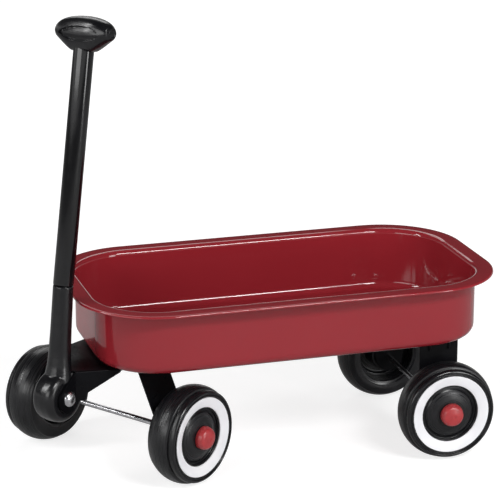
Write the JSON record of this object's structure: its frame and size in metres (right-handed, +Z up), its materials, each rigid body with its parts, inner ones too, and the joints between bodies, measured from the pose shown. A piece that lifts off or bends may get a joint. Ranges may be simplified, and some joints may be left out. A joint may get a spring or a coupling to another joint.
{
  "type": "toy pull wagon",
  "caption": "Small red pressed-steel pull wagon with a flanged tray, white-ringed black wheels, a steering front axle and an upright black pull handle.",
  "frame": {"origin": "on the ground under the middle of the whole wagon, with the tray's midline at y = 0; the steering stands 35 degrees to the left and the handle leans back, as in the picture", "axes": "+X forward, +Y the wagon's left, +Z up"},
  "size_m": [0.3566, 0.1779, 0.3377],
  "materials": {
    "tray_red": "glossy red enamel",
    "bracket_black": "glossy black enamel",
    "tube_black": "glossy black enamel on a drawn tube",
    "handle_black": "glossy moulded plastic",
    "tyre_black": "satin moulded plastic with a fine-turned tread",
    "hub_black": "satin moulded plastic",
    "ring_white": "satin white plastic",
    "cap_red": "glossy red plastic",
    "steel": "bright drawn steel",
    "washer_nylon": "natural nylon"
  },
  "bodies": {
    "wagon": {"tray": "tray_red", "rear_bracket": "bracket_black", "rear_bracket_rivets": "steel", "kingpin": "steel", "kingpin_lower_washer": "steel", "pivot_washer": "washer_nylon", "rear_axle": "steel", "wheel_spacer_rear_left": "steel", "wheel_spacer_rear_right": "steel", "hub_cap_rear_left": "cap_red", "hub_cap_rear_right": "cap_red"},
    "truck": {"front_bolster": "bracket_black", "front_axle": "steel", "wheel_spacer_front_left": "steel", "wheel_spacer_front_right": "steel", "hub_cap_front_left": "cap_red", "hub_cap_front_right": "cap_red", "handle_rivet": "steel"},
    "handle": {"handle_yoke": "handle_black", "handle_tube": "tube_black", "handle_grip": "handle_black", "grip_end_caps": "handle_black"},
    "wheel_rear_left": {"tyre_rear_left": "tyre_black", "wheel_hub_rear_left": "hub_black", "white_ring_rear_left": "ring_white"},
    "wheel_rear_right": {"tyre_rear_right": "tyre_black", "wheel_hub_rear_right": "hub_black", "white_ring_rear_right": "ring_white"},
    "wheel_front_left": {"tyre_front_left": "tyre_black", "wheel_hub_front_left": "hub_black", "white_ring_front_left": "ring_white"},
    "wheel_front_right": {"tyre_front_right": "tyre_black", "wheel_hub_front_right": "hub_black", "white_ring_front_right": "ring_white"}
  },
  "joints": [
    {"name": "steering", "type": "hinge", "parent": "wagon", "child": "truck", "pos_m": [0.09947, 0, 0.0879], "axis": [0, 0, 1], "range_deg": [-73, 3]},
    {"name": "handle_tilt", "type": "hinge", "parent": "truck", "child": "handle", "pos_m": [0.15624, 0.03975, 0.0686], "axis": [-0.5736, 0.8192, 0], "range_deg": [-2, 108]},
    {"name": "wheel_spin_rear_left", "type": "hinge", "parent": "wagon", "child": "wheel_rear_left", "pos_m": [-0.13103, 0.0675, 0.0365], "axis": [0, 1, 0], "continuous": true},
    {"name": "wheel_spin_rear_right", "type": "hinge", "parent": "wagon", "child": "wheel_rear_right", "pos_m": [-0.13103, -0.0675, 0.0365], "axis": [0, 1, 0], "continuous": true},
    {"name": "wheel_spin_front_left", "type": "hinge", "parent": "truck", "child": "wheel_front_left", "pos_m": [0.06411, 0.06009, 0.0365], "axis": [-0.5736, 0.8192, 0], "continuous": true},
    {"name": "wheel_spin_front_right", "type": "hinge", "parent": "truck", "child": "wheel_front_right", "pos_m": [0.14384, -0.05378, 0.0365], "axis": [-0.5736, 0.8192, 0], "continuous": true}
  ]
}
